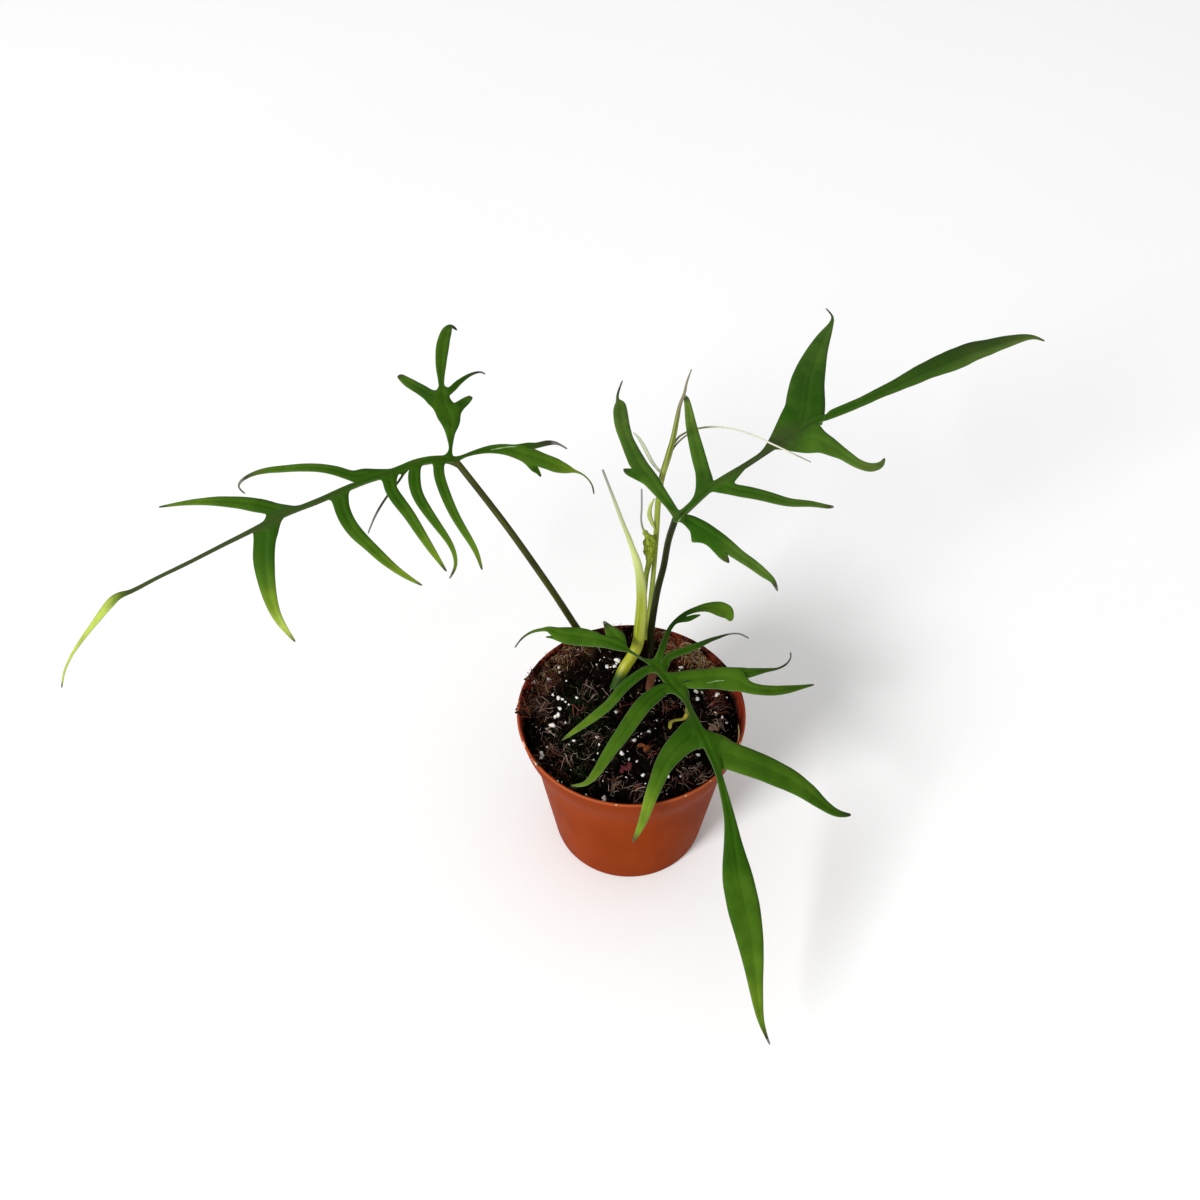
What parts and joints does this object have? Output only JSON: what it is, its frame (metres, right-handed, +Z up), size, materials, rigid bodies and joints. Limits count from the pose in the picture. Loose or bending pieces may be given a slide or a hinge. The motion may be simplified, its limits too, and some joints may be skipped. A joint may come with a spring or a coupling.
{
  "type": "potted philodendron polypodioides",
  "caption": "Young climbing philodendron with deeply cut fern-like leaves on slim stalks, growing in dark soil in a plain round plastic nursery pot.",
  "frame": {"origin": "centre of the pot's flat underside, on the surface that the plant stands on", "axes": "+Z up, +X to the right in the picture and along the plant's widest spread, +Y away from the picture's camera"},
  "size_m": [0.5258, 0.3516, 0.2623],
  "materials": {
    "pot_plastic": "satin terracotta-coloured plastic",
    "soil": "moist dark peat with fibres and white grains",
    "leaf": "satin leaf with a paler midrib line",
    "stalk_dark": "satin dark olive stalk",
    "stalk_brown": "dull brown stalk",
    "sheath_pale": "soft pale yellow-green skin",
    "shoot_green": "smooth light green"
  },
  "bodies": {
    "root": {"pot": "pot_plastic", "soil": "soil", "petiole_left": "stalk_dark", "blade_left": "leaf", "petiole_right": "stalk_dark", "blade_right": "leaf", "petiole_front": "stalk_brown", "blade_front": "leaf", "sheath": "sheath_pale", "shoot": "shoot_green", "young_leaf": "shoot_green", "old_sheath": "sheath_pale"}
  },
  "joints": []
}
